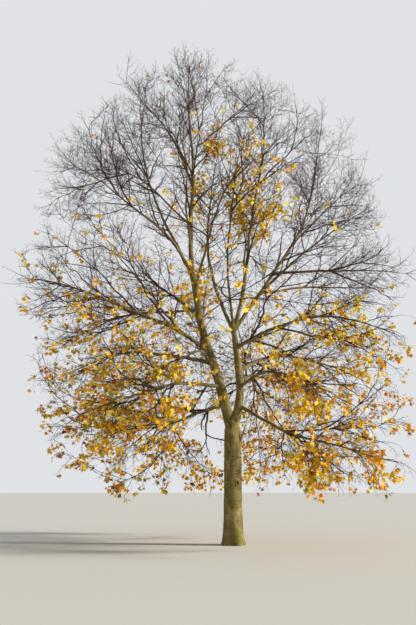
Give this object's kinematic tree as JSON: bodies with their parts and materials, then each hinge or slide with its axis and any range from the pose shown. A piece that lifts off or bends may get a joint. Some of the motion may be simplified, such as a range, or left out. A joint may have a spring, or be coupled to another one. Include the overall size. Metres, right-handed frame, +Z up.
{
  "type": "maple tree",
  "caption": "Broad deciduous tree in late autumn: a trunk that forks low into two stems, long arching boughs and masses of twigs, bare above and leafy below.",
  "frame": {"origin": "centre of the trunk's flat cut at ground level", "axes": "+Z up along the trunk, +X to the right and -Y towards the viewer in the picture"},
  "size_m": [13.2026, 11.5099, 16.8469],
  "materials": {
    "bark": "rough, fissured",
    "twigs": "matt",
    "foliage": "matt leaves on twigs"
  },
  "bodies": {
    "root": {"back_high_bough": "bark", "back_high_twigs": "twigs", "back_low_bough": "bark", "back_low_foliage": "foliage", "back_mid_bough": "bark", "back_mid_foliage": "foliage", "front_high_bough": "bark", "front_high_twigs": "twigs", "front_low_bough": "bark", "front_low_foliage": "foliage", "front_mid_bough": "bark", "front_mid_foliage": "foliage", "front_right_bough": "bark", "front_right_foliage": "foliage", "inner_left_bough": "bark", "inner_left_twigs": "twigs", "leader_bough": "bark", "leader_left_bough": "bark", "leader_left_twigs": "twigs", "leader_twigs": "twigs", "left_drop_bough": "bark", "left_drop_foliage": "foliage", "left_fan_bough": "bark", "left_fan_twigs": "twigs", "left_level_bough": "bark", "left_level_foliage": "foliage", "left_long_bough": "bark", "left_long_foliage": "foliage", "left_low_bough": "bark", "left_low_foliage": "foliage", "left_mid_bough": "bark", "left_mid_foliage": "foliage", "left_rise_bough": "bark", "left_rise_twigs": "twigs", "left_stem": "bark", "middle_bough": "bark", "middle_foliage": "foliage", "right_arch_bough": "bark", "right_arch_foliage": "foliage", "right_bough_bough": "bark", "right_bough_foliage": "foliage", "right_fan_bough": "bark", "right_fan_twigs": "twigs", "right_leader_bough": "bark", "right_leader_twigs": "twigs", "right_level_bough": "bark", "right_level_foliage": "foliage", "right_long_bough": "bark", "right_long_foliage": "foliage", "right_low_bough": "bark", "right_low_foliage": "foliage", "right_rise_bough": "bark", "right_rise_twigs": "twigs", "right_stem": "bark", "right_top_bough": "bark", "right_top_twigs": "twigs", "trunk": "bark", "upper_left_bough": "bark", "upper_left_twigs": "twigs"}
  },
  "joints": []
}
